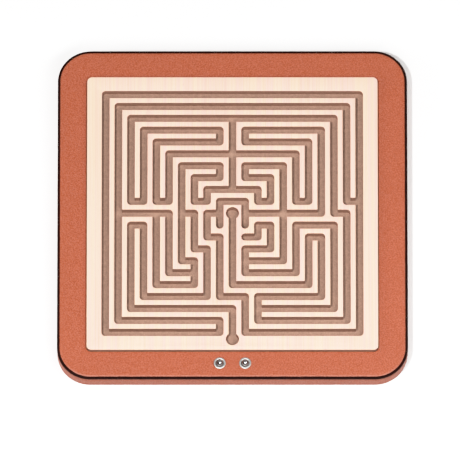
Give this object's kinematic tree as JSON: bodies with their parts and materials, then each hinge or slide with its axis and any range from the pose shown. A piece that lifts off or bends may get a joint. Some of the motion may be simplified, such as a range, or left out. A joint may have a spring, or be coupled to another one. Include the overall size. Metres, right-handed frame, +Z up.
{
  "type": "tilt maze game",
  "caption": "Square leather-covered tilt maze: a raised wood-veneered board with a routed labyrinth track, round start and goal, and steel balls kept in metal cups in the front rim.",
  "frame": {"origin": "centre of the tray's underside, on the table", "axes": "+Z up, out of the board's face; +Y to the back; +X to the right; the ball cups are in the front rim, at -Y"},
  "size_m": [0.3006, 0.3006, 0.0208],
  "materials": {
    "top_leather": "satin, fine pebbled grain",
    "side_leather": "satin, fine pebbled grain",
    "edge_paint": "satin acrylic edge paint",
    "maple_veneer": "satin lacquered maple",
    "mdf_core": "raw routed fibreboard",
    "rail_wood": "planed",
    "plywood": "sanded",
    "biscuit_wood": "pressed beech",
    "suede": "napped microfibre",
    "screw_steel": "zinc plated",
    "cup_nickel": "polished nickel plate",
    "magnet": "nickel plated",
    "ball_steel": "polished"
  },
  "bodies": {
    "board": {"base_lining": "suede", "base_panel": "plywood", "front_rail": "rail_wood", "back_rail": "rail_wood", "left_rail": "rail_wood", "right_rail": "rail_wood", "mitre_biscuits": "biscuit_wood", "base_screws": "screw_steel", "backing_veneer": "maple_veneer", "maze_board": "mdf_core", "face_veneer": "maple_veneer", "side_leather": "side_leather", "top_leather": "top_leather", "edge_paint": "edge_paint", "left_ball_cup": "cup_nickel", "right_ball_cup": "cup_nickel", "left_cup_magnet": "magnet", "right_cup_magnet": "magnet"},
    "left_ball": {"left_ball": "ball_steel"},
    "right_ball": {"right_ball": "ball_steel"}
  },
  "joints": [
    {"name": "left_ball_lift", "type": "slide", "parent": "board", "child": "left_ball", "axis": [0, 0, 1], "range_m": [0, 0.03]},
    {"name": "right_ball_lift", "type": "slide", "parent": "board", "child": "right_ball", "axis": [0, 0, 1], "range_m": [0, 0.03]}
  ]
}
